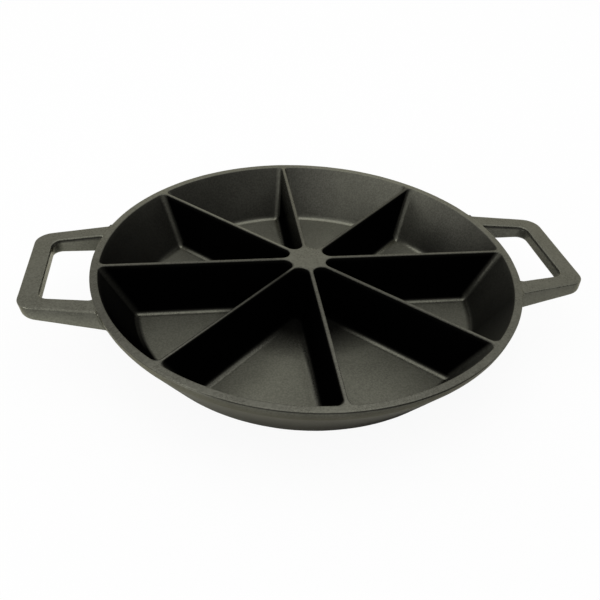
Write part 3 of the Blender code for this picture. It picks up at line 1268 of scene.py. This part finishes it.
@dataclass
class Studio:
    """A white floor and room, a large soft lamp overhead, a low small one and a dark card."""

    floor_half: float = 4.0
    floor_colour: Colour = (0.9, 0.9, 0.9)
    floor_glow: float = 0.93
    mirrored_glow: float = 0.0
    room_light: float = 0.85
    lamp_size: float = 1.5
    lamp_place: Vector = field(default_factory=lambda: Vector((0.0, 0.35, 1.5)))
    lamp_power: float = 5.6
    fill_size: float = 0.5
    fill_place: Vector = field(default_factory=lambda: Vector((-1.3, -0.75, 0.2)))
    fill_power: float = 4.5
    flag_width: float = 1.0
    flag_height: float = 0.5
    flag_distance: float = 0.95
    flag_bearing: float = math.radians(-40.0)
    flag_colour: Colour = (0.02, 0.02, 0.02)

    def build(self) -> None:
        """Sets up the floor, the dark card, the room and the two lamps."""
        self._build_floor()
        self._build_flag()
        self._build_room()
        self._add_lamp("overhead_softbox", self.lamp_size, self.lamp_power, self.lamp_place)
        self._add_lamp("left_softbox", self.fill_size, self.fill_power, self.fill_place)

    def _seen(self, graph: Graph, direct: float, mirrored: float) -> Value:
        """A value for rays that show the room itself, and 0 for rays that only light the pan.

        Args:
            graph: The tree to add to.
            direct: The value for what the camera sees directly.
            mirrored: The value for what shows in a reflection or through glass.

        Returns:
            The value.
        """
        rays = graph.node("ShaderNodeLightPath")
        kinds = ("Is Camera Ray", "Is Glossy Ray", "Is Transmission Ray")
        camera, glossy, clear = (Value(graph, rays.outputs[kind]) for kind in kinds)
        return (camera * direct) | ((glossy | clear) * mirrored)

    def _build_floor(self) -> None:
        """Adds the floor, which glows to the eye and still takes the pan's shadow."""
        half = self.floor_half
        corners = [(-half, -half, 0.0), (half, -half, 0.0), (half, half, 0.0), (-half, half, 0.0)]
        shares = self.floor_glow, self.mirrored_glow
        glow = "ShaderNodeEmission"
        self._add_sheet("studio_floor", corners, self.floor_colour, glow, shares)

    def _build_flag(self) -> None:
        """Stands a dark card to the front right of the pan, which only the pan sees."""
        toward = heading(self.flag_bearing).to_3d()
        across = Vector((-toward.y, toward.x, 0.0)) * (self.flag_width / 2)
        middle = toward * self.flag_distance
        high = straight_up(self.flag_height)
        corners = [middle - across, middle + across, middle + across + high, middle - across + high]
        clear = "ShaderNodeBsdfTransparent"
        self._add_sheet("studio_flag", corners, self.flag_colour, clear, (1.0, 0.0))

    def _add_sheet(
        self,
        name: str,
        corners: Sequence[Sequence[float]],
        colour: Colour,
        other: str,
        shares: tuple[float, float],
    ) -> None:
        """Adds a flat matt sheet to the studio, which looks otherwise to some rays.

        Args:
            name: Its name.
            corners: Its four corners.
            colour: Its matt colour.
            other: The node of the shader that those rays meet.
            shares: How much of that shader shows directly, and in a reflection or through glass.
        """
        material = bpy.data.materials.new(name)
        material.use_nodes = True
        graph = Graph(material.node_tree)
        matt = graph.node("ShaderNodeBsdfDiffuse", None, {"Color": colour})
        shown = graph.node(other, None, {"Color": WHITE})
        sockets = {0: self._seen(graph, *shares), 1: matt.outputs[0], 2: shown.outputs[0]}
        mix = graph.node("ShaderNodeMixShader", None, sockets)
        graph.node("ShaderNodeOutputMaterial", None, {"Surface": mix.outputs[0]})
        mesh = bpy.data.meshes.new(name)
        mesh.from_pydata([tuple(corner) for corner in corners], [], [(0, 1, 2, 3)])
        mesh.materials.append(material)
        sheet = add_object(name, mesh)

    def _build_room(self) -> None:
        """Makes the world: white to the eye, and an even light on the pan."""
        world = bpy.data.worlds.new("white_room")
        world.use_nodes = True
        graph = Graph(world.node_tree)
        strength = self._seen(graph, 1.0, 1.0) * (1.0 - self.room_light) + self.room_light
        room = graph.node("ShaderNodeBackground", None, {"Color": WHITE, "Strength": strength})
        graph.node("ShaderNodeOutputWorld", None, {"Surface": room.outputs[0]})
        bpy.context.scene.world = world

    def _add_lamp(self, name: str, size: float, power: float, place: Vector) -> None:
        """Adds a soft square lamp that looks at the pan.

        Args:
            name: Its name.
            size: Its width.
            power: Its power.
            place: Where it stands.
        """
        light = bpy.data.lights.new(name, "AREA")
        light.shape = "SQUARE"
        light.size = size
        light.energy = power
        lamp = add_object(name, light)
        lamp.location = place
        lamp.rotation_euler = (-place).to_track_quat("-Z", "Y").to_euler()


@dataclass(frozen=True)
class PhotoCamera:
    """The photo's camera, in rim radii and degrees, about the middle of the rim's plane.

    The lens and its sensor are in millimetres, and the nearest distance that it sees in metres.
    """

    azimuth: float = -10.34
    elevation: float = 36.94
    distance: float = 3.159
    roll: float = 3.70
    aside: float = -0.0364
    above: float = -0.2014
    lens: float = 39.88
    sensor: float = 36.0
    nearest: float = 0.01

    def build(self, pan: PanCasting) -> None:
        """Sets up the scene's camera.

        Args:
            pan: The pan that it looks at.
        """
        angles = (self.azimuth, self.elevation, self.roll)
        azimuth, elevation, roll = (math.radians(angle) for angle in angles)
        level = math.cos(elevation)
        back = Vector((math.sin(azimuth) * level, -math.cos(azimuth) * level, math.sin(elevation)))
        flat_right = (-back).cross(straight_up(1.0)).normalized()
        flat_up = flat_right.cross(-back)
        right = flat_right * math.cos(roll) + flat_up * math.sin(roll)
        up = flat_up * math.cos(roll) - flat_right * math.sin(roll)
        place = (back * self.distance + right * self.aside + up * self.above) * pan.rim_radius
        place += straight_up(pan.height)
        turn = Matrix((right, up, back)).transposed()
        lens = bpy.data.cameras.new("photo_camera")
        lens.sensor_width = self.sensor
        lens.lens = self.lens
        lens.clip_start = self.nearest
        camera = add_object("photo_camera", lens)
        camera.matrix_world = Matrix.Translation(place) @ turn.to_4x4()
        bpy.context.scene.camera = camera


def stand_in(piece: bpy.types.Object, nodes: Sequence[str]) -> None:
    """Lets a piece stand for solids of the frame.

    Args:
        piece: The piece that is seen.
        nodes: The solids that it replaces.
    """
    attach(piece, "root")
    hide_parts(*nodes)
    LOG.info("%s: %d faces, for %s", piece.name, len(piece.data.polygons), ", ".join(nodes))


def main() -> None:
    """Loads the frame, sets the camera and builds the pan in its studio."""
    logging.basicConfig(level=logging.INFO, format="%(name)s: %(message)s")
    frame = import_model()
    bpy.context.scene.view_settings.view_transform = "Standard"
    pan = PanCasting()
    PhotoCamera().build(pan)
    iron = SeasonedIron().build()
    surface = SandSurface()
    right = LoopHandle(
        Side.RIGHT,
        pan,
        root_thickness=13.6 * MM,
        tip_thickness=9.0 * MM,
        arm_root_width=13.6 * MM,
        arm_tip_width=12.4 * MM,
    )
    left = LoopHandle(
        Side.LEFT,
        pan,
        length=42.6 * MM,
        grip_draft=math.radians(14.0),
        # Painted light: this handle's sides are painted lighter.
        side_coat=Coat(wear=1.0, coarse=0.3),
    )
    handles = [right, left]
    handle_nodes = [handle.node for handle in handles]
    body_nodes = [name for name in frame["nodes"] if name not in handle_nodes]
    stand_in(pan.build(surface, iron), body_nodes)
    for handle in handles:
        stand_in(handle.build(surface, iron), [handle.node])
    Studio().build()


if __name__ == "__main__":
    main()
